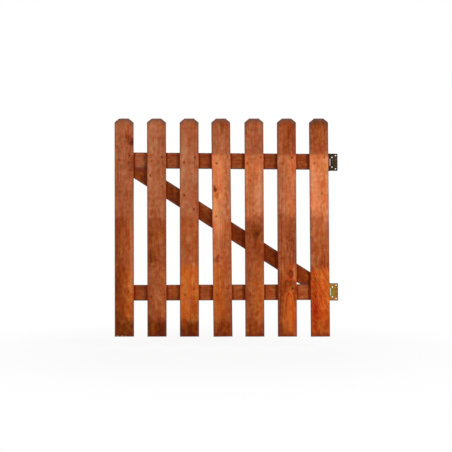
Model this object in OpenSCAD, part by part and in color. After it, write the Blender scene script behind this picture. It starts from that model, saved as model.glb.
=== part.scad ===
// Picket gate for a garden fence: dog-eared pickets nailed to two rails and a
// diagonal brace, hung on two steel butt hinges whose knuckles are rolled from
// the leaves. Lengths are millimetres, angles are degrees.
// +X runs from the latch side to the hinge side, +Y to the back, +Z up.
// The origin is the middle of the flat face of the lower hinge's post leaf,
// which is screwed to the back of the gate post.

/* [Gate] */
// Width of the gate without its hinges, which is the length of the rails
gate_w = 983; // [700:1:1300]
// Thickness of the rails and of the brace between them
rail_t = 28; // [20:1:45]
// Height of each rail
rail_h = 72; // [50:1:95]
// Centre of the bottom rail above the pickets' feet
bottom_rail_up = 202; // [140:1:260]
// Centre of the top rail above the centre of the bottom rail, at the hinges
rail_spacing = 601; // [450:1:800]
// How much lower the top rail lies at its hinge end than at its latch end
top_rail_fall = 7.5; // [0:0.5:15]
// How much higher the bottom rail lies at its hinge end than at its latch end
bottom_rail_rise = 3.5; // [0:0.5:15]
// Rounding of the long edges of every board
arris_r = 3; // [1:0.5:6]

/* [Pickets] */
// Number of pickets
picket_count = 7; // [5:1:9]
// Length of a picket
picket_h = 1000; // [960:10:1300]
// Width of a picket
picket_w = 87; // [60:1:100]
// Thickness of a picket
picket_t = 18; // [14:1:30]
// Width cut off each corner of a picket's head
ear_w = 22; // [10:1:28]
// Height cut off each corner of a picket's head
ear_h = 18; // [10:1:40]

/* [Brace] */
// Width of the diagonal brace
brace_w = 72; // [50:1:95]
// From the gate's latch edge to the tip of the brace's head, under the top rail
brace_head_in = 11; // [0:1:60]
// From the gate's hinge edge to the tip of the brace's foot, on the bottom rail.
// Below zero, the tip runs past that edge and is sawn off flush with it
brace_foot_in = -3; // [-20:1:60]

/* [Hinges] */
// Height of a hinge
hinge_h = 80; // [70:1:120]
// From the pin's axis to the free edge of a leaf
leaf_w = 40; // [36:1:60]
// Thickness of the sheet that the leaves are pressed from
leaf_t = 2; // [1.5:0.1:3]
// Rounding of a leaf's corners
leaf_corner_r = 1.5; // [0.5:0.1:5]
// Diameter of the pin
pin_d = 5; // [4:0.1:8]
// Running clearance all round the pin
pin_clearance = 0.05; // [0.02:0.01:0.1]
// Height of the middle knuckle, which belongs to the gate leaf
middle_knuckle_h = 32; // [24:1:36]
// Play between two knuckles
knuckle_play = 0.4; // [0.2:0.1:1]
// Open slot between a knuckle and the other leaf's plate
leaf_slot = 1.5; // [1:0.1:4]
// From the rails' ends to the pin's axis
pin_out = 5.5; // [4:0.5:16]

/* [Screw holes] */
// Diameter of a screw hole in a leaf
hole_d = 5.5; // [4:0.1:6.5]
// Depth of the countersink, which widens at 45 degrees
sink_depth = 1.3; // [0.5:0.1:1.4]
// From the outer holes to the free edge and to the ends of the leaf
outer_hole_in = 9; // [7:0.5:11]
// From the inner holes to the pin's axis
inner_hole_out = 14; // [13:0.5:16]
// Distance between the two inner holes
inner_hole_spacing = 45; // [44:1:50]

/* [Hidden] */
// How far each picket's foot stands to the right of its head, as nailed by hand
foot_drift = [5, 5, 3, 11, 4, 3, 6];

// Places across the gate
pin_x = -leaf_w / 2;
hinge_edge_x = pin_x - pin_out;
latch_edge_x = hinge_edge_x - gate_w;
picket_pitch = (gate_w - picket_w) / (picket_count - 1);

// Places in the gate's thickness: the flat faces of the leaves are at zero
rail_mid_y = -rail_t / 2;
picket_mid_y = -rail_t - picket_t / 2;

// The hinges sit at mid height of the rails' ends. A rail is turned about the
// middle of its hinge end, and a positive tilt raises its latch end
hinge_levels = [0, rail_spacing];
top_tilt = asin(top_rail_fall / gate_w);
bottom_tilt = -asin(bottom_rail_rise / gate_w);

// Heights of the lower edge of the top rail and the upper edge of the bottom
// rail, at a place across the gate
function under_top_rail(x) =
    rail_spacing - rail_h / 2 / cos(top_tilt) + (hinge_edge_x - x) * tan(top_tilt);
function over_bottom_rail(x) =
    rail_h / 2 / cos(bottom_tilt) + (hinge_edge_x - x) * tan(bottom_tilt);

// The brace fills the space between the rails, so the way from the tip of its
// head to the tip of its foot, which lie on its opposite edges, gives its slope
brace_head_x = latch_edge_x + brace_head_in;
brace_foot_x = hinge_edge_x - brace_foot_in;
brace_rise = under_top_rail(brace_head_x) - over_bottom_rail(brace_foot_x);
brace_reach = brace_foot_x - brace_head_x;
tip_to_tip = norm([brace_rise, brace_reach]);
brace_angle = atan2(brace_rise, brace_reach) + asin(brace_w / tip_to_tip);

// Rolled knuckle
pin_r = pin_d / 2;
bore_r = pin_r + pin_clearance;
knuckle_r = bore_r + leaf_t;
plate_start = knuckle_r + leaf_slot;
// Opening left between the end of the roll and its own plate
roll_mouth = 4;
roll_end = acos(1 - leaf_t / knuckle_r) + roll_mouth;
// Heights where each leaf has its knuckles, from the middle of the hinge
gate_knuckles = [[-middle_knuckle_h / 2, middle_knuckle_h / 2]];
outer_knuckle_start = middle_knuckle_h / 2 + knuckle_play;
post_knuckles = [
    [-hinge_h / 2, -outer_knuckle_start],
    [outer_knuckle_start, hinge_h / 2]
];

// Peened ends of the pin, which keep it in the barrel
peen_r = pin_r + 0.45 * leaf_t;
peen_h = 1.2;
peen_rim = 0.5;

wood_light = "#B4633A";
wood_mid = "#A0522D";
wood_dark = "#7C3A1A";
steel_dark = "#4B4236";
steel_zinc = "#9A7F2E";

// Cuts run this far past the faces they cut
cut = 1;
$fn = 64;

picket_names = [for (i = [1 : picket_count]) str("picket_", i)];

// ---- Boards ----

// Cross-section of a planed board with eased edges, centred
module board_section(width, thickness) {
    square([width - 2 * arris_r, thickness], center = true);
    square([width, thickness - 2 * arris_r], center = true);
    for (side = [-1, 1], face = [-1, 1])
        translate([side * (width / 2 - arris_r), face * (thickness / 2 - arris_r)])
            circle(arris_r);
}

// Board lying along X, centred
module board(length, width, thickness) {
    rotate([0, 90, 0])
        linear_extrude(length, center = true)
            board_section(width, thickness);
}

// Front outline of a picket, standing on its foot
module dog_ear_outline() {
    polygon([
        [-picket_w / 2, 0],
        [picket_w / 2, 0],
        [picket_w / 2, picket_h - ear_h],
        [picket_w / 2 - ear_w, picket_h],
        [-picket_w / 2 + ear_w, picket_h],
        [-picket_w / 2, picket_h - ear_h]
    ]);
}

// Picket number i, counted from the latch side, leaning about its middle
module picket(i) {
    drift = foot_drift[(i - 1) % len(foot_drift)];
    lean = asin(drift / picket_h);
    middle_z = picket_h / 2 - bottom_rail_up;
    color(i % 2 == 0 ? wood_light : wood_mid)
        translate([
            latch_edge_x + picket_w / 2 + (i - 1) * picket_pitch,
            picket_mid_y,
            middle_z
        ])
            rotate([0, -lean, 0])
                translate([0, 0, -picket_h / 2])
                    intersection() {
                        linear_extrude(picket_h)
                            board_section(picket_w, picket_t);
                        rotate([90, 0, 0])
                            linear_extrude(picket_t + 2 * cut, center = true)
                                dog_ear_outline();
                    }
}

// Rail with the middle of its hinge end at height z
module rail(z, tilt) {
    color(wood_dark)
        translate([hinge_edge_x, rail_mid_y, z])
            rotate([0, tilt, 0])
                translate([-gate_w / 2, 0, 0])
                    board(gate_w, rail_h, rail_t);
}

module top_rail() {
    rail(rail_spacing, top_tilt);
}

module bottom_rail() {
    rail(0, bottom_tilt);
}

// Front outline of the space between the rails
module between_rails() {
    polygon([
        [latch_edge_x, over_bottom_rail(latch_edge_x)],
        [hinge_edge_x, over_bottom_rail(hinge_edge_x)],
        [hinge_edge_x, under_top_rail(hinge_edge_x)],
        [latch_edge_x, under_top_rail(latch_edge_x)]
    ]);
}

// Brace from under the top rail at the latch side down to the hinge side, its
// ends sawn so that they bear on the rails
module diagonal_brace() {
    middle_x = (brace_head_x + brace_foot_x) / 2;
    middle_z = over_bottom_rail(brace_foot_x) + brace_rise / 2;
    color(wood_dark)
        intersection() {
            translate([middle_x, rail_mid_y, middle_z])
                rotate([0, brace_angle, 0])
                    board(tip_to_tip, brace_w, rail_t);
            translate([0, cut, 0])
                rotate([90, 0, 0])
                    linear_extrude(rail_t + 2 * cut)
                        between_rails();
        }
}

// ---- Hinges, drawn with the pin's axis at x = 0 and the flat face at y = 0 ----

// Flat part of a leaf seen from the front, with a tongue for each knuckle
module leaf_outline(knuckles) {
    corner_x = leaf_w - leaf_corner_r;
    corner_z = hinge_h / 2 - leaf_corner_r;
    translate([plate_start, -hinge_h / 2])
        square([corner_x - plate_start, hinge_h]);
    translate([corner_x, -corner_z])
        square([leaf_corner_r, 2 * corner_z]);
    for (end = [-1, 1])
        translate([corner_x, end * corner_z])
            circle(leaf_corner_r);
    for (band = knuckles)
        translate([0, band[0]])
            square([plate_start, band[1] - band[0]]);
}

// Section of the sheet where it is rolled round the pin, up to the open mouth
module roll_section() {
    reach = 2 * knuckle_r;
    translate([0, knuckle_r])
        difference() {
            circle(knuckle_r);
            circle(bore_r);
            polygon([
                [0, 0],
                [0, -reach],
                [reach * sin(roll_end), -reach * cos(roll_end)]
            ]);
        }
}

// Hole through a leaf, countersunk on the side that the barrel stands out from
module screw_hole() {
    rotate([-90, 0, 0]) {
        translate([0, 0, -cut])
            cylinder(d = hole_d, h = leaf_t + 2 * cut);
        translate([0, 0, leaf_t - sink_depth])
            cylinder(
                d1 = hole_d,
                d2 = hole_d + 2 * (sink_depth + cut),
                h = sink_depth + cut
            );
    }
}

// Hinge leaf that reaches to +X, with rolled knuckles over the given heights
module leaf(knuckles) {
    outer_hole_z = hinge_h / 2 - outer_hole_in;
    difference() {
        union() {
            rotate([90, 0, 0])
                translate([0, 0, -leaf_t])
                    linear_extrude(leaf_t)
                        leaf_outline(knuckles);
            for (band = knuckles)
                translate([0, 0, band[0]])
                    linear_extrude(band[1] - band[0])
                        roll_section();
        }
        for (side = [-1, 1]) {
            translate([leaf_w - outer_hole_in, 0, side * outer_hole_z])
                screw_hole();
            translate([inner_hole_out, 0, side * inner_hole_spacing / 2])
                screw_hole();
        }
    }
}

module post_leaf(z, finish) {
    color(finish)
        translate([pin_x, 0, z])
            leaf(post_knuckles);
}

module gate_leaf(z, finish) {
    color(finish)
        translate([pin_x, 0, z])
            mirror([1, 0, 0])
                leaf(gate_knuckles);
}

// Pin through the three knuckles, peened over at both ends
module hinge_pin(z, finish) {
    end_z = hinge_h / 2;
    tip_z = end_z + peen_h;
    rim_z = end_z + peen_rim;
    color(finish)
        translate([pin_x, knuckle_r, z])
            rotate_extrude()
                polygon([
                    [0, -tip_z],
                    [pin_r, -tip_z],
                    [peen_r, -rim_z],
                    [peen_r, -end_z],
                    [pin_r, -end_z],
                    [pin_r, end_z],
                    [peen_r, end_z],
                    [peen_r, rim_z],
                    [pin_r, tip_z],
                    [0, tip_z]
                ]);
}

module upper_gate_leaf() {
    gate_leaf(hinge_levels[1], steel_dark);
}

module upper_post_leaf() {
    post_leaf(hinge_levels[1], steel_dark);
}

module upper_hinge_pin() {
    hinge_pin(hinge_levels[1], steel_dark);
}

module lower_gate_leaf() {
    gate_leaf(hinge_levels[0], steel_zinc);
}

module lower_post_leaf() {
    post_leaf(hinge_levels[0], steel_zinc);
}

module lower_hinge_pin() {
    hinge_pin(hinge_levels[0], steel_zinc);
}

for (i = [1 : picket_count])
    picket(i);
top_rail();
bottom_rail();
diagonal_brace();
upper_gate_leaf();
upper_post_leaf();
upper_hinge_pin();
lower_gate_leaf();
lower_post_leaf();
lower_hinge_pin();
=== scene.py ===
"""A stained picket gate with its two hinges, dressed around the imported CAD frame.

The CAD nodes keep their shapes. This script gives each board its own piece of
stained softwood and each hinge its plated steel, adds the nails and the hinge
screws, and sets up the camera, the light and the floor. Lengths are metres.
"""

import math
import random

import bmesh
import bpy
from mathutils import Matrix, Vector


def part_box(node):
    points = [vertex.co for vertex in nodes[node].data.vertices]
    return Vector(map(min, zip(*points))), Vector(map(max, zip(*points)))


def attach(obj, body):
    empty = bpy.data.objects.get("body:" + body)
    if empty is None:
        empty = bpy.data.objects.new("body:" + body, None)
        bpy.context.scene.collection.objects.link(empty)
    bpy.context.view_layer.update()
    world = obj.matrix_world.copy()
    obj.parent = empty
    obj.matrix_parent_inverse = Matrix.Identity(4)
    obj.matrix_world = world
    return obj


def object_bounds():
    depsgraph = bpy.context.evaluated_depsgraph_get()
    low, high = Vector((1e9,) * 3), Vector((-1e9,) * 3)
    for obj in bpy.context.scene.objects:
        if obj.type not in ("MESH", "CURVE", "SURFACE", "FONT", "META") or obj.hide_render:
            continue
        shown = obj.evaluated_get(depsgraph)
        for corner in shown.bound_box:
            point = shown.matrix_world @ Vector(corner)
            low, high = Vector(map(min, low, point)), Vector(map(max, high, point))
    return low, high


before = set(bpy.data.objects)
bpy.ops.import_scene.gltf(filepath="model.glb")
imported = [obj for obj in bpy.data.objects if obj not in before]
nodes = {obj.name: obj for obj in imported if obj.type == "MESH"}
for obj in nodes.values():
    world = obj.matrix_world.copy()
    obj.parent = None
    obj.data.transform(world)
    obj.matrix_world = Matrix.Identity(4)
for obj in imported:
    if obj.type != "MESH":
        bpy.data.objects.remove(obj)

MM = 0.001
X, Y, Z = Vector((1, 0, 0)), Vector((0, 1, 0)), Vector((0, 0, 1))
cad_low, cad_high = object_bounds()


# ---------------------------------------------------------------- node trees


def linear(colour):
    """A colour written as #RRGGBB, as the four linear numbers that Blender takes."""
    parts = [int(colour[i:i + 2], 16) / 255 for i in (1, 3, 5)]
    return [p / 12.92 if p < 0.04045 else ((p + 0.055) / 1.055) ** 2.4 for p in parts] + [1]


class Field:
    """A number or colour that varies over a surface. Arithmetic on it adds Math nodes."""

    def __init__(self, graph, socket):
        self.graph = graph
        self.socket = socket

    def __add__(self, other):
        return self.graph.math("ADD", self, other)

    def __sub__(self, other):
        return self.graph.math("SUBTRACT", self, other)

    def __mul__(self, other):
        return self.graph.math("MULTIPLY", self, other)

    def __truediv__(self, other):
        return self.graph.math("DIVIDE", self, other)

    def __pow__(self, other):
        return self.graph.math("POWER", self, other)

    def __abs__(self):
        return self.graph.math("ABSOLUTE", self)

    __radd__, __rmul__ = __add__, __mul__

    def __rsub__(self, other):
        return self.graph.math("SUBTRACT", other, self)

    def __rtruediv__(self, other):
        return self.graph.math("DIVIDE", other, self)

    def least(self, other):
        """The lesser of this and another, place by place."""
        return self.graph.math("MINIMUM", self, other)

    def most(self, other):
        """The greater of this and another, place by place."""
        return self.graph.math("MAXIMUM", self, other)

    def step(self, start, end):
        """0 before start and 1 past end, with a smooth rise between. start may be above end."""
        node = self.graph.add("ShaderNodeMapRange", interpolation_type="SMOOTHSTEP")
        values = (self, min(start, end), max(start, end), float(start > end), float(start < end))
        for socket, value in zip(node.inputs, values):
            self.graph.feed(socket, value)
        return Field(self.graph, node.outputs[0])


class Graph:
    """The node tree of one new material, with a short method for each kind of node used."""

    def __init__(self, name):
        self.material = bpy.data.materials.new(name)
        self.material.use_nodes = True
        self.tree = self.material.node_tree
        self.shader = self.tree.nodes["Principled BSDF"]

    def add(self, kind, **settings):
        """A new node of this kind with these settings."""
        node = self.tree.nodes.new(kind)
        for key, value in settings.items():
            setattr(node, key, value)
        return node

    def feed(self, socket, value):
        """Joins a field to a socket, or sets the socket to a number, vector or #RRGGBB colour."""
        if isinstance(value, Field):
            self.tree.links.new(value.socket, socket)
        elif isinstance(value, str):
            socket.default_value = linear(value)
        else:
            socket.default_value = value

    def math(self, operation, a, b=0.0):
        """What a Math node makes of one or two numbers or fields."""
        node = self.add("ShaderNodeMath", operation=operation)
        self.feed(node.inputs[0], a)
        self.feed(node.inputs[1], b)
        return Field(self, node.outputs[0])

    def length(self, a, b):
        """The length of a vector from two fields at right angles."""
        return self.math("SQRT", a * a + b * b)

    def position(self):
        """The place on the object at rest, which stays with it when it moves."""
        return Field(self, self.add("ShaderNodeTexCoord").outputs["Object"])

    def along(self, place, axis, origin):
        """How far place is from origin along a unit axis."""
        node = self.add("ShaderNodeVectorMath", operation="DOT_PRODUCT")
        self.feed(node.inputs[0], place)
        self.feed(node.inputs[1], axis)
        return Field(self, node.outputs["Value"]) - origin.dot(axis)

    def vector(self, x, y, z):
        """A vector from three numbers or fields."""
        node = self.add("ShaderNodeCombineXYZ")
        for socket, value in zip(node.inputs, (x, y, z)):
            self.feed(socket, value)
        return Field(self, node.outputs[0])

    def noise(self, place, detail=2.0, rough=0.5, scale=1.0):
        """Noise from 0 to 1 and mostly near 0.5. A cell is as wide as one unit of place / scale."""
        node = self.add("ShaderNodeTexNoise")
        self.feed(node.inputs["Vector"], place)
        node.inputs["Scale"].default_value = scale
        node.inputs["Detail"].default_value = detail
        node.inputs["Roughness"].default_value = rough
        return Field(self, node.outputs[0])

    def mix(self, share, a, b, blend="MIX"):
        """Colour a turned into colour b by share, or multiplied by it."""
        node = self.add("ShaderNodeMix", data_type="RGBA", blend_type=blend)
        self.feed(node.inputs["Factor"], share)
        self.feed(node.inputs[6], a)
        self.feed(node.inputs[7], b)
        return Field(self, node.outputs[2])

    def thicker(self, colour, coats):
        """A stain's colour where it lies this many coats thick. More coats are darker and redder."""
        node = self.add("ShaderNodeGamma")
        self.feed(node.inputs["Color"], colour)
        self.feed(node.inputs["Gamma"], coats)
        return Field(self, node.outputs[0])

    def bump(self, height, distance):
        """A normal that shows a relief, of which a height of 1 stands this distance proud."""
        node = self.add("ShaderNodeBump")
        node.inputs["Distance"].default_value = distance
        self.feed(node.inputs["Height"], height)
        return Field(self, node.outputs[0])

    def finish(self, colour, roughness, normal, **constants):
        """The material, with its fields and constants joined to its shader."""
        for name, value in (("Base Color", colour), ("Roughness", roughness), ("Normal", normal)):
            self.feed(self.shader.inputs[name], value)
        for name, value in constants.items():
            self.shader.inputs[name.replace("_", " ")].default_value = value
        return self.material


# ------------------------------------------------------------- stained boards

# The stains, from the palest to the darkest; the pale pink #BE8660 is painted sheen, and GARNET is also
# painted shade
BUFF = "#DE9462"
HONEY = "#D27E50"
# The next one is no stain but painted sheen, the soft pinkish highlights of the finish, laid on as marks
PAINTED_SHEEN = "#BE8660"
AMBER = "#C0724A"
COPPER = "#C0693C"
FLAME = "#C26628"
POPPY = "#C45C1E"
OCHRE = "#B86026"
ROSE = "#AC6642"
TAN = "#A45C38"
CLAY = "#A8572C"
SADDLE = "#B05018"
BRIAR = "#9E5634"
EMBER = "#B24810"
SIENNA = "#9A4E28"
RUSSET = "#924419"
BRICK = "#A23206"
RAIL = "#8C421B"
CHESTNUT = "#8A3D0C"
UMBER = "#7A350C"
BARK = "#722D02"
# GARNET is also the painted shade beside the pickets on the rails and the brace
GARNET = "#7A2400"
PEAT = "#682802"
PITCH = "#541A04"

# Wood that has lost its stain, the tints where it is greener or redder, and its dull edges, a grey brown
# that is painted shade and sheen
RAW = "#D8B48E"
GREENER = "#E2FFE2"
REDDER = "#FFE2E0"
EDGE_SHADE_SHEEN = "#664E40"

# Tide lines of the stain above the foot: how high, how soft and how far each one wanders
FOOT_LINE = 76 * MM
LOW_LINE = 322 * MM
MIDDLE_LINE = 548 * MM
UPPER_LINE = 832 * MM
TIDE_LINES = (
    (FOOT_LINE, 24 * MM, 18 * MM),
    (LOW_LINE, 30 * MM, 45 * MM),
    (MIDDLE_LINE, 38 * MM, 45 * MM),
    (UPPER_LINE, 10 * MM, 34 * MM),
)

# Sizes of the boards that their boxes don't give, because the boards lean
PICKET_WIDTH = 87 * MM
PICKET_HEIGHT = 1000 * MM
RAIL_HEIGHT = 72 * MM
BRACE_SLOPE = math.radians(32.5)

# What was cut off the corners of the pickets' heads, and how wide the eased edges are
EAR_WIDTH = 22 * MM
EAR_HEIGHT = 18 * MM
ARRIS = 3 * MM

# One picket: its stains at its left and right edge in each stretch between the tide lines,
# from the foot up; its rings' spacing in millimetres and their contrast near the foot and
# higher up; where the heart of the tree lay from its middle, across it and out of its front in
# millimetres, so less than 0 is behind it; and how steeply the grain runs out below the low line
PICKETS = {
    "picket_1": dict(
        stains=((BARK, BARK), (CHESTNUT, OCHRE), (RUSSET, CLAY), (TAN, TAN), (TAN, TAN)),
        seed=1, ring=3.2, grain=(0.2, 0.2), heart=(14, -46),
    ),
    "picket_2": dict(
        stains=((BARK, BARK), (SIENNA, CLAY), (RUSSET, SIENNA), (ROSE, TAN), (ROSE, BRIAR)),
        seed=2, ring=2.6, grain=(0.2, 0.2), heart=(-22, -60),
    ),
    "picket_3": dict(
        stains=((BARK, BARK), (FLAME, FLAME), (CLAY, CLAY), (ROSE, TAN), (ROSE, BRIAR)),
        seed=3, ring=2.4, grain=(0.25, 0.15), heart=(60, -70),
    ),
    "picket_4": dict(
        stains=((RUSSET, CHESTNUT), (OCHRE, CLAY), (COPPER, CLAY), (HONEY, AMBER), (TAN, TAN)),
        seed=4, ring=3.0, grain=(0.2, 0.2), heart=(10, -52),
    ),
    "picket_5": dict(
        stains=((CHESTNUT, RUSSET), (SIENNA, OCHRE), (SIENNA, RUSSET), (COPPER, AMBER), (BRIAR, BRIAR)),
        seed=5, ring=2.8, grain=(0.2, 0.2), heart=(-48, -64),
    ),
    "picket_6": dict(
        stains=((RUSSET, SADDLE), (RUSSET, POPPY), (SIENNA, SIENNA), (ROSE, COPPER), (SIENNA, SIENNA)),
        seed=6, ring=4.6, grain=(0.4, 0.2), heart=(4, -40),
    ),
    "picket_7": dict(
        stains=((SADDLE, SADDLE), (EMBER, POPPY), (CLAY, CLAY), (HONEY, HONEY), (SIENNA, SIENNA)),
        seed=7, ring=12.0, grain=(0.48, 0.2), heart=(-62, -24), run_out=0.36,
    ),
}

# The rails and the brace: the grain as above; the stain at the left end, and each next one with
# where along the board, in metres, it starts to show and is all that shows
RAILS = {
    "top_rail": dict(
        stains=(TAN, (RAIL, 0.0, 0.35)),
        seed=11, ring=3.0, grain=(0.25, 0.25), heart=(20, -50),
    ),
    "bottom_rail": dict(
        stains=(RUSSET, (CLAY, 0.0, 1.2)),
        seed=52, ring=2.6, grain=(0.25, 0.25), heart=(-30, -44),
    ),
    "diagonal_brace": dict(
        stains=(
            CHESTNUT, (PEAT, 0.09, 0.18), (UMBER, 0.32, 0.44), (BARK, 0.5, 0.7), (CHESTNUT, 0.8, 1.0),
        ),
        seed=33, ring=2.8, grain=(0.2, 0.2), heart=(8, -60),
    ),
}

# Marks on the pickets' fronts, in millimetres: height above the foot, place across from the
# middle, half height and half width; then stain and strength. A later one covers an earlier one.
# The marks in the pale pink #BE8660 are painted sheen, not stain
MARKS = {
    "picket_1": (
        (944, 6, 26, 12, AMBER, 0.2), (926, 14, 26, 11, CHESTNUT, 0.8),
        (908, 25, 28, 14, CHESTNUT, 0.9), (890, 37, 34, 11, BARK, 1.0),
        (884, 41, 22, 7, PITCH, 0.9), (800, 34, 60, 16, CHESTNUT, 0.6),
        (696, 26, 34, 11, AMBER, 0.5), (405, -12, 36, 22, CHESTNUT, 0.8),
        (390, 36, 150, 11, AMBER, 0.9), (338, 16, 34, 20, AMBER, 0.4),
        (98, -26, 24, 26, BARK, 0.8), (62, 5, 28, 30, BARK, 0.75),
        (2, -30, 5, 9, RAW, 0.8), (2, -10, 4, 7, RAW, 0.7), (1, 6, 4, 9, RAW, 0.6),
    ),
    "picket_2": (
        (963, 24, 8, 6, FLAME, 0.7), (944, 9, 26, 8, BRIAR, 0.5), (890, 0, 80, 10, PAINTED_SHEEN, 0.3),
        (847, 27, 26, 14, PAINTED_SHEEN, 0.4), (812, 30, 4, 4, HONEY, 0.8),
        (570, -22, 36, 10, RUSSET, 0.5), (458, 22, 34, 18, OCHRE, 0.5),
        (455, -8, 28, 26, CHESTNUT, 0.45), (433, 17, 13, 9, PAINTED_SHEEN, 0.35),
        (418, -30, 10, 20, CLAY, 0.5), (362, -20, 54, 17, BARK, 0.75),
        (262, -7, 60, 11, TAN, 0.6), (158, 6, 34, 16, RUSSET, 0.4),
        (62, -25, 30, 19, BARK, 0.8),
    ),
    "picket_3": (
        (963, 15, 12, 7, FLAME, 0.5), (955, 8, 26, 7, RUSSET, 0.4),
        (870, -12, 60, 14, PAINTED_SHEEN, 0.25), (835, 8, 60, 6, BRIAR, 0.7),
        (760, 4, 90, 16, PAINTED_SHEEN, 0.15), (723, 26, 34, 14, PAINTED_SHEEN, 0.5),
        (443, -3, 18, 12, PAINTED_SHEEN, 0.35), (372, -27, 54, 14, PAINTED_SHEEN, 0.4),
        (361, 3, 14, 10, PAINTED_SHEEN, 0.25), (352, 24, 20, 10, RUSSET, 0.5),
        (329, 21, 12, 9, HONEY, 0.5), (238, 25, 24, 11, SIENNA, 0.5),
        (215, -20, 18, 9, SIENNA, 0.4),
        (160, 5, 28, 14, AMBER, 0.9), (120, 20, 54, 26, SADDLE, 0.9),
        (102, -6, 22, 26, SADDLE, 0.6), (105, 28, 30, 14, RUSSET, 0.5),
        (76, 14, 18, 22, CHESTNUT, 0.6), (62, 27, 26, 14, BARK, 0.5),
        (62, -26, 26, 14, SADDLE, 0.6),
    ),
    "picket_4": (
        (980, 0, 30, 60, UMBER, 0.25), (963, 21, 9, 6, POPPY, 0.5),
        (892, 0, 30, 13, SIENNA, 0.4), (764, -6, 40, 18, BUFF, 0.4),
        (700, 36, 160, 22, ROSE, 0.8), (684, -33, 16, 6, CHESTNUT, 0.8),
        (644, -9, 22, 15, BUFF, 0.8), (584, 20, 18, 16, SIENNA, 0.4),
        (572, -26, 62, 18, BUFF, 1.0), (565, -4, 40, 20, PAINTED_SHEEN, 0.35),
        (500, -12, 50, 26, HONEY, 0.8), (425, -17, 55, 14, PAINTED_SHEEN, 0.4),
        (416, 6, 28, 15, ROSE, 0.7), (362, 8, 9, 40, SIENNA, 0.6),
        (352, -27, 26, 18, SIENNA, 1.0), (92, -22, 40, 12, COPPER, 0.6),
        (27, 26, 22, 16, BARK, 0.6),
    ),
    "picket_5": (
        (964, 11, 9, 6, POPPY, 0.5), (929, -27, 32, 16, SIENNA, 0.8),
        (910, -12, 26, 16, RUSSET, 0.5), (886, 28, 26, 10, AMBER, 0.3),
        (811, 33, 4, 4, HONEY, 0.8), (808, -12, 20, 20, SIENNA, 0.6),
        (764, 16, 26, 26, BUFF, 0.4), (715, -2, 100, 8, ROSE, 0.6),
        (650, 27, 100, 10, PAINTED_SHEEN, 0.4), (640, -22, 130, 20, ROSE, 0.5),
        (583, -6, 24, 7, SIENNA, 0.6), (517, 25, 24, 14, ROSE, 0.5),
        (478, 4, 40, 34, BARK, 0.8), (474, -22, 22, 22, CHESTNUT, 0.6),
        (472, 8, 22, 24, BARK, 0.9), (466, 8, 14, 18, PITCH, 0.5),
        (430, 2, 20, 10, BARK, 0.5), (408, -6, 26, 9, BARK, 0.6),
        (330, 18, 45, 24, CLAY, 0.8), (270, 25, 26, 14, TAN, 0.6),
        (190, -10, 40, 11, RUSSET, 0.6), (113, -14, 60, 10, CHESTNUT, 0.6),
        (104, 4, 22, 12, RUSSET, 0.6), (78, 22, 36, 14, COPPER, 0.6),
    ),
    "picket_6": (
        (985, 0, 45, 60, UMBER, 0.4), (966, 14, 20, 5, FLAME, 0.5),
        (900, 22, 60, 20, UMBER, 0.3), (792, -25, 18, 14, SIENNA, 0.8),
        (700, 10, 120, 7, ROSE, 0.4), (662, 27, 54, 13, PAINTED_SHEEN, 0.4),
        (476, 25, 24, 14, ROSE, 0.4), (382, -12, 34, 20, CHESTNUT, 0.6),
        (370, 26, 50, 14, ROSE, 0.35), (311, -26, 26, 15, AMBER, 0.6),
        (285, 19, 20, 12, RUSSET, 0.6), (292, 30, 44, 11, PAINTED_SHEEN, 0.6),
        (284, -8, 24, 18, COPPER, 0.5), (262, -20, 24, 14, OCHRE, 0.5),
        (244, 12, 16, 30, BARK, 0.7), (222, 26, 20, 18, UMBER, 0.8),
        (212, -20, 32, 24, CHESTNUT, 0.35), (208, 10, 16, 14, UMBER, 0.7),
        (190, 16, 30, 14, EMBER, 0.8), (182, 34, 44, 10, CHESTNUT, 0.9),
        (170, -16, 24, 9, CHESTNUT, 0.5), (136, -19, 34, 9, CHESTNUT, 0.7),
        (95, 16, 90, 22, POPPY, 0.8), (90, -14, 70, 8, OCHRE, 0.6),
        (0, 0, 26, 70, RUSSET, 0.8),
    ),
    "picket_7": (
        (985, 0, 60, 60, BARK, 0.9), (990, 0, 24, 60, PITCH, 0.7),
        (972, -28, 24, 14, BARK, 0.5), (916, 10, 72, 40, RUSSET, 0.8),
        (912, 7, 34, 8, CHESTNUT, 0.5), (890, -26, 60, 16, RUSSET, 0.4),
        (832, -5, 18, 11, SIENNA, 0.5), (802, 0, 40, 60, COPPER, 0.5),
        (728, 6, 36, 7, CLAY, 0.5), (700, -26, 90, 12, PAINTED_SHEEN, 0.3),
        (690, 25, 130, 16, FLAME, 0.4), (694, 2, 90, 14, COPPER, 0.9),
        (599, -27, 26, 14, BUFF, 0.5), (592, 7, 30, 7, CLAY, 0.6),
        (505, -8, 40, 44, AMBER, 0.5), (442, -19, 14, 9, PAINTED_SHEEN, 0.4),
        (337, 0, 25, 50, RUSSET, 0.7), (314, 0, 15, 60, RUSSET, 0.6),
        (286, 16, 18, 18, OCHRE, 0.3), (270, 0, 14, 12, SADDLE, 0.5),
        (262, -26, 14, 12, CHESTNUT, 0.7), (228, -18, 20, 12, CHESTNUT, 0.5),
        (190, 20, 100, 18, POPPY, 0.9), (110, -20, 74, 17, BRICK, 1.0),
        (0, 0, 26, 70, RUSSET, 0.8),
    ),
}

# Knots, in millimetres: height above the foot, place across from the middle and radius; then the
# stain inside and how dark the rim is
KNOTS = {
    "picket_1": ((889, 38, 6.0, PITCH, 0.4),),
    "picket_4": ((671, -28, 6.0, BARK, 0.35), (646, -22, 10.5, OCHRE, 0.0)),
    "picket_6": (
        (285, 17, 8.5, RUSSET, 0.8), (297, 20, 3.5, BARK, 0.5),
        (362, 10, 3.0, CHESTNUT, 0.3), (440, 8, 3.0, CHESTNUT, 0.3),
    ),
    "picket_7": ((655, 12, 3.0, SIENNA, 0.3),),
}

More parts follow.
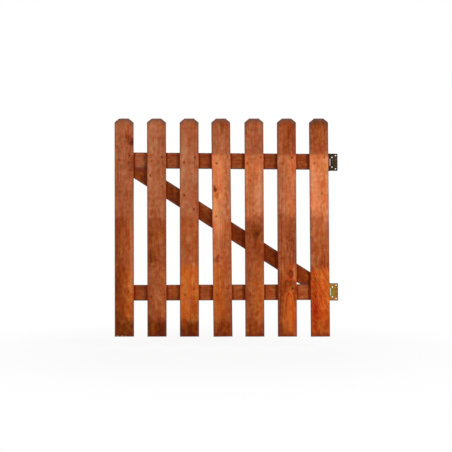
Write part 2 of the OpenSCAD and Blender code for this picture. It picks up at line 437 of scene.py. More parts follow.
# Nails, in millimetres: place across from a picket's middle and height above the bottom rail's
# middle; then whether the head is bare, brown or covered by the stain
NAILS = {
    "picket_1": (
        (25, 627, "bare"), (-22, 608, "covered"), (28, 560, "covered"), (19, 2, "brown"),
    ),
    "picket_2": (
        (25, 621, "bare"), (-22, 601, "covered"), (-29, 534, "brown"), (24, 486, "covered"),
        (18, 7, "covered"), (-24, -21, "brown"),
    ),
    "picket_3": (
        (27, 619, "bare"), (-23, 596, "brown"), (-23, 445, "bare"), (21, 381, "brown"),
        (20, 14, "covered"), (-20, -12, "covered"),
    ),
    "picket_4": (
        (31, 622, "covered"), (-22, 592, "brown"), (-25, 348, "covered"),
        (23, 17, "covered"), (-25, -12, "covered"),
    ),
    "picket_5": (
        (30, 619, "brown"), (-31, 592, "covered"), (20, 188, "covered"),
        (22, 14, "covered"), (-22, -12, "covered"),
    ),
    "picket_6": (
        (24, 618, "bare"), (-18, 590, "covered"), (-23, 156, "brown"),
        (24, 18, "bare"), (-23, -12, "brown"),
    ),
    "picket_7": ((24, 619, "covered"), (-20, 592, "covered"), (-22, -18, "brown")),
}

# The darker and lighter colour of each kind of nail head, and how much stain pools round it
NAIL_LOOKS = {
    "bare": ("#360C00", "#521600", 0.7),
    "brown": ("#561E02", "#702C08", 0.6),
    "covered": ("#762C06", "#8A3C0C", 0.4),
}

# Noises of the grain: how many cells a metre holds along the board and across it, or only along
# it; and how far apart in the noise two boards are whose seeds differ by 1
FIBRE_CELLS = (20.0, 700.0)
STREAK_CELLS = (3.0, 60.0)
MOTTLE_CELLS = (50.0, 60.0)
CLOUD_CELLS = (11.0, 26.0)
HUE_CELLS = (30.0, 60.0)
SWELL_CELLS = (5.0, 14.0)
SWAY_CELLS = 2.2
SEED_STEP = 7.31

# The rings: how far the heart wanders across the board and out of it, how far the rings swell,
# how far they shift in a metre, and how uneven the grain is where it runs out
SWAY_ACROSS = 50 * MM
SWAY_OUT = 30 * MM
SWELL = 8 * MM
TAPER = 14 * MM
RUN_OUT_MOTTLE = 5 * MM
RUN_OUT_CLOUD = 45 * MM

# Growth is uneven: the rings move to and fro over this many years' growth, in this many cells of
# noise to a year
UNEVEN_YEARS = 2.4
UNEVEN_CELLS = 0.45

# The late wood grows through a year's ring by this power and gives way past this share of it.
# At its mean the wood takes no more stain than even wood
LATE_POWER = 3.0
LATE_END = 0.93
MEAN_LATE = 0.15

# How much the mottles add to the waves that the clouds make in a tide line
WAVE_MOTTLE = 0.7

# A picket's left stain gives way to its right one between this share of its half width left and
# right of its middle. The clouds move that to and fro over this many half widths
SIDES_REACH = 0.7
SIDES_CLOUD = 1.5

# The clouds move the changes of stain along a rail or the brace to and fro over this many metres
FADE_CLOUD = 0.4

# How ragged a mark is, and where it starts and is all that shows, where its outline is 1
MARK_RAGGED = 1.2
MARK_EDGE = (1.3, 0.2)

# A knot is this many times longer along the board than across it. The rings bend round it by this
# many of its radii, and by less the further off they are
KNOT_STRETCH = 10 / 7
KNOT_BEND = 1.4
KNOT_FAR = 0.4

# How ragged a knot is, where it starts and is all that shows, where its outline is 1, and how
# much of it shows; then its dark rim, as the distance from the outline, and the darker wood
# round it
KNOT_RAGGED = 1.0
KNOT_EDGE = (1.4, 0.6)
KNOT_SHARE = 0.85
RIM_EDGE = (0.5, 0.05)
ROUND_KNOT = (2.2, 1.0)

# A knot's own rings: how many there are, where each starts and is all that shows, and its coats
KNOT_RINGS = 2.6
KNOT_RING_EDGE = (0.2, 0.9)
KNOT_RING_COATS = 0.4

# Coats of stain on even wood, and how many more there are where each noise of the grain is high,
# on eased edges, where the extra coats are painted shade, near ends, on sawn ends and round knots
# with dark rims
EVEN_COATS = 1.06
CLOUD_COATS = -0.65
MOTTLE_COATS = -0.75
STREAK_COATS = 0.4
FIBRE_COATS = -0.2
EDGE_SHADE_COATS = 0.1
END_COATS = 0.2
SAWN_COATS = 0.3
KNOT_COATS = 0.5

# How much of the rings' contrast is left at the foot where the grain runs out, and how far up
# it is all back
FOOT_CONTRAST = 0.35
FOOT_CLEAR = 2.2 * FOOT_LINE

# Where the eased edges start and are all that shows, and how thick a sawn end's dark skin is
EDGE_SPAN = (1.9 * ARRIS, 0.3 * ARRIS)
SAWN_REACH = 0.8 * MM

# How far in from its sides, its ends and its head a board is duller, and how dull it is there and
# on its eased edges: greyer and darker, as painted shade and sheen along the edges. The head's
# dullness grows over the first part of the upper half
SIDE_REACH = 13 * MM
END_REACH = 26 * MM
HEAD_SPAN = (23 * MM, -1 * MM)
UPPER_HALF = (0.0, 100 * MM)
SIDE_DULL = 0.35
EDGE_DULL = 0.2
END_DULL = 0.1
HEAD_DULL = 0.85

# How much of that painted shade and sheen is left where a rail or the brace is behind a picket
OVER_RAIL_SHARE = 0.15

# A look that a picket has only on its front, or only beside a rail, fades over twice this
SOFT = 4 * MM

# Painted shade beside the pickets on what they are nailed to, a dark band in the corner where a
# picket's edge meets it: where it starts and is all that shows, how ragged that is, how far out of
# the board's middle it is all there, and its strength
SHADE_BESIDE_EDGE = (13 * MM, 2 * MM)
SHADE_BESIDE_RAGGED = 6 * MM
SHADE_BESIDE_OUT = 10 * MM
SHADE_BESIDE_SHARE = 0.85

# Dark stain round the nails: its radius, how much longer it is along the board than across it,
# and where it is all that shows
POOL_RADIUS = 8 * MM
POOL_STRETCH = 4 / 3
POOL_FULL = 0.25

# Where the greener and the redder tint start and are all that shows in the noise of the hue
GREEN_HUE = (0.5, 0.72)
RED_HUE = (0.5, 0.28)
TINT_SHARE = 0.6

# The surface: its roughness, how much fibres and late wood change it, its sheen, and its relief
WOOD_ROUGHNESS = 0.5
FIBRE_ROUGHNESS = 0.5
LATE_ROUGHNESS = -0.08
WOOD_SHEEN = 0.06
WOOD_RELIEF = 0.3 * MM
LATE_RELIEF = 0.5
FIBRE_RELIEF = 0.5
STREAK_RELIEF = 0.4


class Board:
    """A board's middle, its axes along, across and out of its front, and its half sizes."""

    def __init__(self, name):
        low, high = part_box(name)
        size = high - low
        self.middle = (low + high) / 2
        self.half_thick = size.y / 2
        self.out = -Y
        if name in PICKETS:
            lean = math.asin((size.x - PICKET_WIDTH) / PICKET_HEIGHT)
            self.along = Vector((-math.sin(lean), 0, math.cos(lean)))
            self.half_long, self.half_wide = PICKET_HEIGHT / 2, PICKET_WIDTH / 2
        elif name == "diagonal_brace":
            self.along = Vector((math.cos(BRACE_SLOPE), 0, -math.sin(BRACE_SLOPE)))
            self.half_long, self.half_wide = size.length / 2, RAIL_HEIGHT / 2
        else:
            tilt = math.asin((size.z - RAIL_HEIGHT) / size.x)
            fall = -tilt if name == "top_rail" else tilt
            self.along = Vector((math.cos(fall), 0, math.sin(fall)))
            self.half_long, self.half_wide = size.x / 2, RAIL_HEIGHT / 2
        self.across = self.out.cross(self.along)
        if self.across.z < 0 or (name in PICKETS and self.across.x < 0):
            self.across.negate()


class Wood(Graph):
    """The material of one board, with its noises and the place on the board as fields: a, b and c
    are from its middle, along it, across it and out of its front, and up is from its foot or its
    left end."""

    def __init__(self, name, look):
        super().__init__(name + "_wood")
        self.name = name
        self.look = look
        self.board = Board(name)
        self.place = self.position()
        self.a = self.along(self.place, self.board.along, self.board.middle)
        self.b = self.along(self.place, self.board.across, self.board.middle)
        self.c = self.along(self.place, self.board.out, self.board.middle)
        self.up = self.a + self.board.half_long
        self.shift = look["seed"] * SEED_STEP
        # Fibres, streaks along the grain, and mottles and clouds where the wood took more stain
        self.fibre = self.cells(FIBRE_CELLS)
        self.streak = self.cells(STREAK_CELLS)
        self.mottle = self.cells(MOTTLE_CELLS, detail=3.0, rough=0.55)
        self.cloud = self.cells(CLOUD_CELLS)
        self.knots = [Knot(self, *knot) for knot in KNOTS.get(name, ())]

    def cells(self, numbers, detail=2.0, rough=0.5, side=1):
        """Noise with so many cells to a metre. Side -1 gives another noise than side 1."""
        lengthways, crossways = numbers
        depth = self.c * crossways + self.shift * side
        return self.noise(self.vector(self.a * lengthways, self.b * crossways, depth), detail, rough)

    def wander(self, field):
        """Noise from -0.5 to 0.5 that changes with one field only."""
        return self.noise(self.vector(field, self.shift, 0.0), detail=1.0) - 0.5

    def reach(self, up, across, half_height, half_width):
        """How far a place is from a spot on the board: 1 is on the ellipse with these half sizes."""
        return self.length((self.up - up) / half_height, (self.b - across) / half_width)


class Knot:
    """A knot in a board. Reach is 1 on its round outline and core is 1 on its ragged one."""

    def __init__(self, wood, up, across, radius, stain, rim_share):
        self.radius = radius * MM
        self.stain = stain
        self.rim_share = rim_share
        self.reach = wood.reach(up * MM, across * MM, KNOT_STRETCH * self.radius, self.radius)
        self.core = self.reach + (wood.mottle - 0.5) * KNOT_RAGGED


def square_gap(wood):
    """How far a place is from the nearer end of a board that is sawn square."""
    return wood.board.half_long - abs(wood.a)


def head_gap(wood):
    """How far a place on a picket is from its foot, its head or the cut corners of its head."""
    across = EAR_WIDTH - wood.board.half_wide
    up = EAR_HEIGHT - wood.board.half_long
    slant = math.hypot(EAR_WIDTH, EAR_HEIGHT)
    outside = ((abs(wood.b) + across) * EAR_HEIGHT + (wood.a + up) * EAR_WIDTH) / slant
    ear = EAR_WIDTH * EAR_HEIGHT / slant - outside
    return ear.least(square_gap(wood))


def level_gap(wood):
    """How far a place on the brace is from its level ends, which meet the rails."""
    low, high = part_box("diagonal_brace")
    height = wood.board.along.z * wood.a + wood.board.across.z * wood.b
    return (high.z - low.z) / 2 - abs(height)


def gap_beside(wood, names):
    """How far a place is from the nearest edge of other boards, seen from the front: less than 0
    where one of them crosses it."""
    gaps = []
    for name in names:
        other = Board(name)
        gaps.append(abs(wood.along(wood.place, other.across, other.middle)) - other.half_wide)
    nearest = gaps[0]
    for gap in gaps[1:]:
        nearest = nearest.least(gap)
    return nearest


def second_least(a, b, c):
    """The middle one of three distances."""
    return a.least(b).most(a.most(b).least(c))


def dipped(wood):
    """The colour of a picket: its stains between the tide lines, then the marks on its front."""
    waves = wood.cloud - 0.5 + (wood.mottle - 0.5) * WAVE_MOTTLE
    across = wood.b / (PICKET_WIDTH / 2) + (wood.cloud - 0.5) * SIDES_CLOUD
    rightness = across.step(-SIDES_REACH, SIDES_REACH)
    foot, *stretches = wood.look["stains"]
    colour = wood.mix(rightness, *foot)
    for (line, softness, wander), stains in zip(TIDE_LINES, stretches):
        share = (wood.up + waves * wander).step(line - softness, line + softness)
        colour = wood.mix(share, colour, wood.mix(rightness, *stains))
    front = wood.c.step(-SOFT, SOFT)
    # The marks in the pale pink #BE8660 are painted sheen, the others stain
    for *spot, stain, strength in MARKS[wood.name]:
        reach = wood.reach(*(size * MM for size in spot))
        share = (reach + (wood.mottle - 0.5) * MARK_RAGGED).step(*MARK_EDGE) * front * strength
        colour = wood.mix(share, colour, stain)
    return colour


def faded(wood):
    """The colour of a rail or the brace, which changes from its left end to its right end."""
    colour, *fades = wood.look["stains"]
    for other, start, end in fades:
        share = (wood.up + (wood.cloud - 0.5) * FADE_CLOUD).step(start, end)
        colour = wood.mix(share, colour, other)
    return colour


def late_wood(wood):
    """How much of the dark late wood of a ring there is at a place, from 0 to 1. The rings run
    round the heart of the tree, which wanders along the board, and bend round the knots."""
    heart_across, heart_out = wood.look["heart"]
    sway = wood.wander(wood.a * SWAY_CELLS)
    swell = wood.cells(SWELL_CELLS, detail=1.0) - 0.5
    side = wood.b - heart_across * MM + sway * SWAY_ACROSS
    depth = wood.c - heart_out * MM + sway * SWAY_OUT
    radius = wood.length(side, depth) + swell * SWELL + wood.a * TAPER
    if "run_out" in wood.look:
        radius = radius + wood.up.least(LOW_LINE) * wood.look["run_out"]
        radius = radius + (wood.mottle - 0.5) * RUN_OUT_MOTTLE + (wood.cloud - 0.5) * RUN_OUT_CLOUD
    for knot in wood.knots:
        radius = radius + knot.radius * KNOT_BEND / (1.0 + knot.reach * knot.reach * KNOT_FAR)
    years = radius / (wood.look["ring"] * MM)
    ring = wood.math("FRACT", years + wood.wander(years * UNEVEN_CELLS) * UNEVEN_YEARS)
    return (ring ** LATE_POWER) * ring.step(1.0, LATE_END)


def contrast(wood):
    """How many more coats the late wood of a ring takes."""
    low, high = wood.look["grain"]
    coats = high + wood.up.step(MIDDLE_LINE, LOW_LINE) * (low - high)
    if "run_out" in wood.look:
        above_foot = wood.up.step(FOOT_LINE, FOOT_CLEAR)
        coats = coats * (above_foot * (1.0 - FOOT_CONTRAST) + FOOT_CONTRAST)
    return coats


def knotted(wood, colour):
    """A colour with the knots in it, which have dark rims and rings of their own."""
    for knot in wood.knots:
        rings = wood.math("FRACT", knot.core * KNOT_RINGS).step(*KNOT_RING_EDGE)
        inside = wood.thicker(knot.stain, 1.0 + rings * KNOT_RING_COATS)
        rim = abs(knot.core - 1.0).step(*RIM_EDGE)
        colour = wood.mix(knot.core.step(*KNOT_EDGE) * KNOT_SHARE, colour, inside)
        colour = wood.mix(rim * knot.rim_share, colour, BARK)
    return colour


def nailed(wood, colour):
    """A colour with the stain that pools round the nails."""
    for across, height, look in NAILS.get(wood.name, ()):
        up = height * MM + wood.board.half_long - wood.board.middle.z
        spot = wood.reach(up, across * MM, POOL_STRETCH * POOL_RADIUS, POOL_RADIUS)
        share = spot.step(1.0, POOL_FULL) * NAIL_LOOKS[look][-1]
        colour = wood.mix(share, colour, GARNET)
    return colour


def stained(wood, colour, to_end):
    """Softwood under a dip stain: colour is one coat of it, and to_end how far off the ends are."""
    late = late_wood(wood)
    hue = wood.cells(HUE_CELLS, side=-1)
    colour = wood.mix(hue.step(*GREEN_HUE) * TINT_SHARE, colour, GREENER, "MULTIPLY")
    colour = wood.mix(hue.step(*RED_HUE) * TINT_SHARE, colour, REDDER, "MULTIPLY")

    # Eased edges and sawn ends are darker and duller than the faces, most of all at a head. The
    # dull grey brown along sides, eased edges, ends and head is painted shade and sheen
    to_side = wood.board.half_wide - abs(wood.b)
    to_face = wood.board.half_thick - abs(wood.c)
    edge = second_least(to_end, to_side, to_face).step(*EDGE_SPAN)
    near_end = to_end.step(END_REACH, 0.0)
    dull = to_side.step(SIDE_REACH, 0.0) * SIDE_DULL + edge * EDGE_DULL + near_end * END_DULL
    if wood.name in PICKETS:
        near_head = to_end.step(*HEAD_SPAN) * wood.a.step(*UPPER_HALF)
        # Less of the painted edge shade and sheen where a rail or the brace is behind the picket
        against_backdrop = gap_beside(wood, RAILS).step(-SOFT, SOFT)
        dull = dull.most(near_head * HEAD_DULL)
        dull = dull * (against_backdrop * (1.0 - OVER_RAIL_SHARE) + OVER_RAIL_SHARE)

    # The grain shows where it takes more stain
    coats = EVEN_COATS + (wood.cloud - 0.5) * CLOUD_COATS + (wood.mottle - 0.5) * MOTTLE_COATS
    coats = coats + (wood.streak - 0.5) * STREAK_COATS + (wood.fibre - 0.5) * FIBRE_COATS
    coats = coats + (late - MEAN_LATE) * contrast(wood)
    # The extra coats on eased edges are painted shade; those near and on sawn ends are stain in end grain
    coats = coats + edge * EDGE_SHADE_COATS + near_end * END_COATS
    coats = coats + to_end.step(SAWN_REACH, 0.0) * SAWN_COATS
    for knot in wood.knots:
        coats = coats + knot.core.step(*ROUND_KNOT) * KNOT_COATS * knot.rim_share
    colour = wood.thicker(colour, coats)
    # Painted shade and sheen: the grey brown mixed in along the edges, sides, ends and head
    colour = wood.mix(dull, colour, EDGE_SHADE_SHEEN)

    if wood.name in RAILS:
        # Painted shade: a dark band in the corner beside each picket, on the rails and the brace
        gap = gap_beside(wood, PICKETS) + (wood.mottle - 0.5) * SHADE_BESIDE_RAGGED
        share = gap.step(*SHADE_BESIDE_EDGE) * wood.c.step(0.0, SHADE_BESIDE_OUT) * SHADE_BESIDE_SHARE
        colour = wood.mix(share, colour, GARNET)
    colour = nailed(wood, knotted(wood, colour))

    relief = late * LATE_RELIEF + wood.fibre * FIBRE_RELIEF + wood.streak * STREAK_RELIEF
    normal = wood.bump(relief, WOOD_RELIEF)
    roughness = WOOD_ROUGHNESS + (wood.fibre - 0.5) * FIBRE_ROUGHNESS + late * LATE_ROUGHNESS
    return wood.finish(colour, roughness, normal, Specular_IOR_Level=WOOD_SHEEN)


def dress(name, material):
    """Gives a CAD node this material and no other."""
    nodes[name].data.materials.clear()
    nodes[name].data.materials.append(material)


for name, look in PICKETS.items():
    wood = Wood(name, look)
    dress(name, stained(wood, dipped(wood), head_gap(wood)))
for name, look in RAILS.items():
    wood = Wood(name, look)
    to_end = level_gap(wood) if name == "diagonal_brace" else square_gap(wood)
    dress(name, stained(wood, faded(wood), to_end))


# --------------------------------------------------------------- hinge steel

# A hinge's colours: beside the barrel, towards the free edge, in clouds and patches, low down, where
# it is a painted reflection of the stained wood, and along the edges, where it is painted edge shade
HINGES = {
    "upper": dict(
        inner="#2C200E", outer="#3E281C", cloud="#241A0C", patch="#523E28", low="#2E200F", edge="#120C06",
        roughness=0.5, metal=0.85,
    ),
    "lower": dict(
        inner="#957125", outer="#83552D", cloud="#767A1C", patch="#A88038", low="#A4663C", edge="#4A3322",
        roughness=0.36, metal=0.95,
    ),
}

# Noises of the plating: how many cells a metre holds
PLATE_CLOUDS = 45.0
PLATE_PATCHES = 130.0
PLATE_SPECKS = 500.0

# Where the outer colour starts and is all that shows, from the free edge, and how far the clouds
# bend that; the same for the low colour, a painted reflection of the stained wood, from the leaf's
# middle; and for the darker edges, which are painted edge shade, from the edge, with the patches
OUTER_SPAN = (-22 * MM, -6 * MM)
OUTER_CLOUD = 30 * MM
REFLECTION_SPAN = (-14 * MM, -27 * MM)
REFLECTION_CLOUD = 24 * MM
EDGE_SHADE_SPAN = (4.5 * MM, 0.5 * MM)
EDGE_SHADE_PATCH = 4 * MM

# Where the cloud and patch colours start and are all that shows in their noises, and how much of
# each colour shows there
CLOUD_SPAN = (0.5, 0.62)
PATCH_SPAN = (0.52, 0.68)
CLOUD_SHARE = 0.7
PATCH_SHARE = 0.7
REFLECTION_SHARE = 0.75
EDGE_SHADE_SHARE = 0.85

# How the coats of the plating's colour change with the noises, how the roughness changes with the
# specks and at the darker edges, and the relief
SPECK_COATS = -0.7
PATCH_COATS = -0.8
SPECK_ROUGHNESS = 0.3
EDGE_ROUGHNESS = 0.15
PLATE_RELIEF = 0.08 * MM


def plated_steel(name, level, look):
    """Pressed sheet with a patchy finish, a painted reflection of the wood low down, and painted shade
    darkening the edges of the leaves, which are rougher.
    """
    low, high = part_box(level + "_post_leaf")
    far_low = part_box(level + "_gate_leaf")[0]
    g = Graph(name)
    place = g.position()
    x = g.along(place, X, Vector((high.x, 0, 0)))
    z = g.along(place, Z, (low + high) / 2)
    cloud = g.noise(place, detail=3.0, rough=0.6, scale=PLATE_CLOUDS)
    patch = g.noise(place, detail=4.0, rough=0.65, scale=PLATE_PATCHES)
    speck = g.noise(place, detail=3.0, rough=0.7, scale=PLATE_SPECKS)
    half_height = (high.z - low.z) / 2
    to_edge = (half_height - abs(z)).least(abs(x)).least(x + (high.x - far_low.x))
    edge = (to_edge + (patch - 0.5) * EDGE_SHADE_PATCH).step(*EDGE_SHADE_SPAN)
    outwards = (x + (cloud - 0.5) * OUTER_CLOUD).step(*OUTER_SPAN)
    low_reflection = (z + (cloud - 0.5) * REFLECTION_CLOUD).step(*REFLECTION_SPAN)
    colour = g.mix(outwards, look["inner"], look["outer"])
    colour = g.mix(cloud.step(*CLOUD_SPAN) * CLOUD_SHARE, colour, look["cloud"])
    colour = g.mix(patch.step(*PATCH_SPAN) * PATCH_SHARE, colour, look["patch"])
    # Painted reflection of the stained wood low down, and painted shade along the edges
    colour = g.mix(low_reflection * REFLECTION_SHARE, colour, look["low"])
    colour = g.mix(edge * EDGE_SHADE_SHARE, colour, look["edge"])
    colour = g.thicker(colour, 1.0 + (speck - 0.5) * SPECK_COATS + (patch - 0.5) * PATCH_COATS)
    roughness = look["roughness"] + (speck - 0.5) * SPECK_ROUGHNESS + edge * EDGE_ROUGHNESS
    return g.finish(colour, roughness, g.bump(speck + patch, PLATE_RELIEF), Metallic=look["metal"])


for level, look in HINGES.items():
    steel = plated_steel(level + "_hinge_plating", level, look)
    for piece in ("gate_leaf", "post_leaf", "hinge_pin"):
        dress(f"{level}_{piece}", steel)


# ---------------------------------------------------------- nails and screws


def made(name, mesh, material):
    """The finished object of a bmesh."""
    bmesh.ops.recalc_face_normals(mesh, faces=mesh.faces)
    data = bpy.data.meshes.new(name)
    mesh.to_mesh(data)
    mesh.free()
    data.materials.append(material)
    piece = bpy.data.objects.new(name, data)
    bpy.context.scene.collection.objects.link(piece)
    return piece


def placed(mesh, outline, height, centre, axis):
    """New vertices for an outline of (x, y), this high up an axis through the centre."""
    turn = axis.to_track_quat("Z", "Y").to_matrix()
    return [mesh.verts.new(centre + turn @ Vector((x, y, height))) for x, y in outline]


def circle(radius, turns):
    """A round outline of so many points."""
    angles = [2 * math.pi * k / turns for k in range(turns)]
    return [(radius * math.cos(angle), radius * math.sin(angle)) for angle in angles]


def skin(mesh, lower, upper):
    """A band of faces between two loops of vertices."""
    for k in range(len(lower)):
        n = (k + 1) % len(lower)
        mesh.faces.new((lower[k], lower[n], upper[n], upper[k]))


# The rust on nail heads: how many cells a metre holds, and where the lighter colour starts and is
# all that shows
RUST_CELLS = 700.0
RUST_SPAN = (0.4, 0.65)
RUST_ROUGHNESS = 0.7
RUST_SHEEN = 0.08
RUST_RELIEF = 0.08 * MM


def nail_steel(name, dark, light):
    """A rusty nail head with more or less of the stain on it."""
    g = Graph(name + "_nail_steel")
    rust = g.noise(g.position(), detail=3.0, rough=0.7, scale=RUST_CELLS)
    colour = g.mix(rust.step(*RUST_SPAN), dark, light)
    roughness = RUST_ROUGHNESS + rust * 0.3
    return g.finish(colour, roughness, g.bump(rust, RUST_RELIEF), Specular_IOR_Level=RUST_SHEEN)


NAIL_RADIUS = 2.7 * MM
NAIL_PROUD = 0.02 * MM
NAIL_DEPTH = 1.2 * MM
NAIL_TURNS = 20

# Radius and height of each ring of a nail head, from its neck to its top
NAIL_PROFILE = (
    (0.55 * NAIL_RADIUS, -NAIL_DEPTH),
    (NAIL_RADIUS, -0.4 * NAIL_DEPTH),
    (NAIL_RADIUS, 0.0),
    (0.9 * NAIL_RADIUS, NAIL_PROUD),
)


def nail_head(name, material, front):
    """A nail head. front is where its middle meets the picket's front, which faces -Y."""
    mesh = bmesh.new()
    loops = [placed(mesh, circle(radius, NAIL_TURNS), height, front, -Y) for radius, height in NAIL_PROFILE]
    for lower, upper in zip(loops, loops[1:]):
        skin(mesh, lower, upper)
    mesh.faces.new(loops[0][::-1])
    mesh.faces.new(loops[-1])
    return made(name, mesh, material)


nail_materials = {name: nail_steel(name, dark, light) for name, (dark, light, _) in NAIL_LOOKS.items()}
for name, places in NAILS.items():
    board = Board(name)
    for number, (across, height, look) in enumerate(places, 1):
        up = height * MM - board.middle.z
        front = board.middle + board.along * up + board.across * (across * MM)
        front.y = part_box(name)[0].y
        nail = nail_head(f"{name}_nail_{number}", nail_materials[look], front)
        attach(nail, "gate")


LEAF_BACK = 2 * MM
SCREW_RADIUS = 3.95 * MM
SCREW_NECK = 2.7 * MM
SCREW_SHANK = 1.9 * MM
SCREW_LENGTH = 18 * MM
SCREW_TURNS = 24
HEAD_SUNK = 0.08 * MM
HEAD_THICK = 1.25 * MM
CROSS_ARM = 2.3 * MM
CROSS_HALF_WIDTH = 0.55 * MM
CROSS_DEPTH = 1.0 * MM
CROSS_TAPER = 0.6

# Radius and height of each ring of a screw, from its top to its tip
SCREW_PROFILE = (
    (SCREW_RADIUS, 0.0),
    (SCREW_NECK, -HEAD_THICK),
    (SCREW_SHANK, -1.6 * HEAD_THICK),
    (SCREW_SHANK, -0.8 * SCREW_LENGTH),
    (0.15 * SCREW_SHANK, -SCREW_LENGTH),
)

# Countersunk holes of a gate leaf: how far in from its free edge, and how far from its middle
OUTER_HOLES = (9 * MM, 31 * MM)
INNER_HOLES = (26 * MM, 22.5 * MM)


def cross(scale, spin):
    """The outline of a cross recess, turned by an angle."""
    arm, half_width = CROSS_ARM * scale, CROSS_HALF_WIDTH * scale
    outline = []
    for k in range(4):
        angle = spin + k * math.pi / 2
        for i, j in ((arm, -half_width), (arm, half_width), (half_width, half_width)):
            x = i * math.cos(angle) - j * math.sin(angle)
            y = i * math.sin(angle) + j * math.cos(angle)
            outline.append((x, y))
    return outline


def screw(name, material, head, spin):
    """A countersunk wood screw with a cross recess. head is the middle of its top, which faces +Y."""
    mesh = bmesh.new()
    loops = [placed(mesh, circle(radius, SCREW_TURNS), height, head, Y) for radius, height in SCREW_PROFILE]
    for upper, lower in zip(loops, loops[1:]):
        skin(mesh, lower, upper)
    mesh.faces.new(loops[-1])
    mouth = placed(mesh, cross(1.0, spin), 0.0, head, Y)
    base = placed(mesh, cross(CROSS_TAPER, spin), -CROSS_DEPTH, head, Y)
    skin(mesh, base, mouth)
    mesh.faces.new(base)
    rims = []
    for loop in (loops[0], mouth):
        for k, vert in enumerate(loop):
            pair = (vert, loop[(k + 1) % len(loop)])
            rims.append(mesh.edges.get(pair) or mesh.edges.new(pair))
    bmesh.ops.triangle_fill(mesh, use_beauty=True, edges=rims)
    return made(name, mesh, material)


# The zinc on screws: its colours, how many cells of its noises a metre holds, and where the dull
# colour starts and is all that shows
ZINC_BRIGHT = "#A89C84"
ZINC_DULL = "#7C6038"
ZINC_PATCHES = 260.0
ZINC_SPECKS = 1100.0
ZINC_SPAN = (0.45, 0.65)
ZINC_ROUGHNESS = 0.35
ZINC_METAL = 0.95
ZINC_RELIEF = 0.04 * MM


def screw_steel():
    """Bright zinc plating that has gone dull and brown in places."""
    g = Graph("zinc_screw_steel")
    place = g.position()
    patch = g.noise(place, detail=3.0, rough=0.6, scale=ZINC_PATCHES)
    speck = g.noise(place, detail=2.0, rough=0.6, scale=ZINC_SPECKS)
    colour = g.mix(patch.step(*ZINC_SPAN), ZINC_BRIGHT, ZINC_DULL)
    roughness = ZINC_ROUGHNESS + speck * 0.25
    return g.finish(colour, roughness, g.bump(speck, ZINC_RELIEF), Metallic=ZINC_METAL)


screw_material = screw_steel()
spins = random.Random(5)
for level in HINGES:
    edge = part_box(level + "_gate_leaf")[0].x
    low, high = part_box(level + "_post_leaf")
    middle = (low.z + high.z) / 2
    number = 0
    for inward, spread in (OUTER_HOLES, INNER_HOLES):
        for side in (-1, 1):
            number += 1
            head = Vector((edge + inward, LEAF_BACK - HEAD_SUNK, middle + side * spread))
            spin = spins.uniform(0, math.pi / 2)
            piece = screw(f"{level}_hinge_screw_{number}", screw_material, head, spin)
            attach(piece, "gate")


# -------------------------------------------------------- camera, light, floor

WHITE = (1, 1, 1, 1)

gate_low, gate_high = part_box("picket_1")[0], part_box("picket_7")[1]
gate_middle = (gate_low + gate_high) / 2
gate_middle.y = gate_low.y

# The camera stands level with the gate's lower half and looks a little right of and above its
# middle, with this width of the gate's plane in view
CAMERA_DISTANCE = 4.0
CAMERA_DROP = 0.12
VIEW_WIDTH = 2.070
SENSOR = 36.0
AIM_RIGHT = 18.8 * MM
AIM_ABOVE = 5.4 * MM

camera_data = bpy.data.cameras.new("camera")
camera = bpy.data.objects.new("camera", camera_data)
bpy.context.scene.collection.objects.link(camera)
bpy.context.scene.camera = camera
camera_data.sensor_width = SENSOR
camera_data.lens = SENSOR * CAMERA_DISTANCE / VIEW_WIDTH
aim = gate_middle + Vector((AIM_RIGHT, 0, AIM_ABOVE))
camera.location = aim + Vector((0, -CAMERA_DISTANCE, -CAMERA_DROP))
camera.rotation_mode = "QUATERNION"
camera.rotation_quaternion = (aim - camera.location).to_track_quat("-Z", "Y")

# Soft boxes: azimuth and elevation in degrees, size in metres and power in watts. Azimuth 0 is in
# front of the gate and 90 is on its right
LIGHTS = {
    "key": (42, 28, 0.8, 146),
    "fill": (-26, 16, 0.8, 65),
    "back": (180, 35, 1.6, 110),
}
LIGHT_DISTANCE = 4.5

# The world is seen as white and lights the gate with this much of it
WORLD_LIGHT = 0.14

for name, (azimuth, elevation, size, power) in LIGHTS.items():
    data = bpy.data.lights.new(name, "AREA")
    data.size = size
    data.energy = power
    light = bpy.data.objects.new(name, data)
    bpy.context.scene.collection.objects.link(light)
    turn, rise = math.radians(azimuth), math.radians(elevation)
    away = Vector((math.sin(turn) * math.cos(rise), -math.cos(turn) * math.cos(rise), math.sin(rise)))
    light.location = gate_middle + away * LIGHT_DISTANCE
    light.rotation_mode = "QUATERNION"
    light.rotation_quaternion = away.to_track_quat("Z", "Y")

world = bpy.data.worlds.new("world")
bpy.context.scene.world = world
world.use_nodes = True
sky = world.node_tree
background = sky.nodes["Background"]
background.inputs["Color"].default_value = WHITE


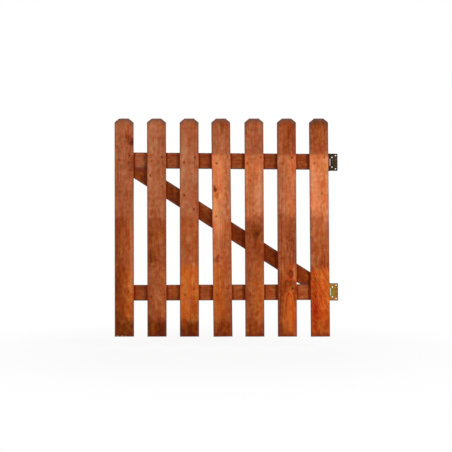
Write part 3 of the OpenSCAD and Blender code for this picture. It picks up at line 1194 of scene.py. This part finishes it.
def direct_view(tree):
    """1 where a ray comes from the camera, a reflection or a clear surface."""
    rays = tree.nodes.new("ShaderNodeLightPath")
    socket = rays.outputs["Is Camera Ray"]
    for kind in ("Is Glossy Ray", "Is Transmission Ray"):
        most = tree.nodes.new("ShaderNodeMath")
        most.operation = "MAXIMUM"
        tree.links.new(socket, most.inputs[0])
        tree.links.new(rays.outputs[kind], most.inputs[1])
        socket = most.outputs[0]
    return socket


strength = sky.nodes.new("ShaderNodeMapRange")
strength.inputs["To Min"].default_value = WORLD_LIGHT
strength.inputs["To Max"].default_value = 1.0
sky.links.new(direct_view(sky), strength.inputs["Value"])
sky.links.new(strength.outputs[0], background.inputs["Strength"])

# The floor is seen as the same white as the backdrop, but for a soft shadow near the gate
FLOOR_DROP = 50 * MM
FLOOR_HALF = 7.0
FLOOR_GREY = (0.6, 0.6, 0.6, 1)
SHADOW_SHARE = 0.09
SHADOW_REACH = 1.6

floor_graph = Graph("pale_floor")
tree = floor_graph.tree
matt = tree.nodes.new("ShaderNodeBsdfDiffuse")
matt.inputs["Color"].default_value = FLOOR_GREY
white = tree.nodes.new("ShaderNodeEmission")
white.inputs["Color"].default_value = WHITE
place = floor_graph.position()
out_x = floor_graph.along(place, X, gate_middle)
out_y = floor_graph.along(place, Y, gate_middle)
near_gate = floor_graph.length(out_x, out_y).step(SHADOW_REACH, 0.3 * SHADOW_REACH)
share = 1.0 - Field(floor_graph, direct_view(tree)) * (1.0 - near_gate * SHADOW_SHARE)
blend = tree.nodes.new("ShaderNodeMixShader")
tree.links.new(share.socket, blend.inputs[0])
tree.links.new(white.outputs[0], blend.inputs[1])
tree.links.new(matt.outputs[0], blend.inputs[2])
tree.links.new(blend.outputs[0], tree.nodes["Material Output"].inputs["Surface"])

floor_z = cad_low.z - FLOOR_DROP
mesh = bmesh.new()
mesh.faces.new([
    mesh.verts.new((gate_middle.x + i * FLOOR_HALF, gate_middle.y + j * FLOOR_HALF, floor_z))
    for i, j in ((-1, -1), (1, -1), (1, 1), (-1, 1))
])
made("floor", mesh, floor_graph.material)

bpy.context.scene.view_settings.view_transform = "Standard"
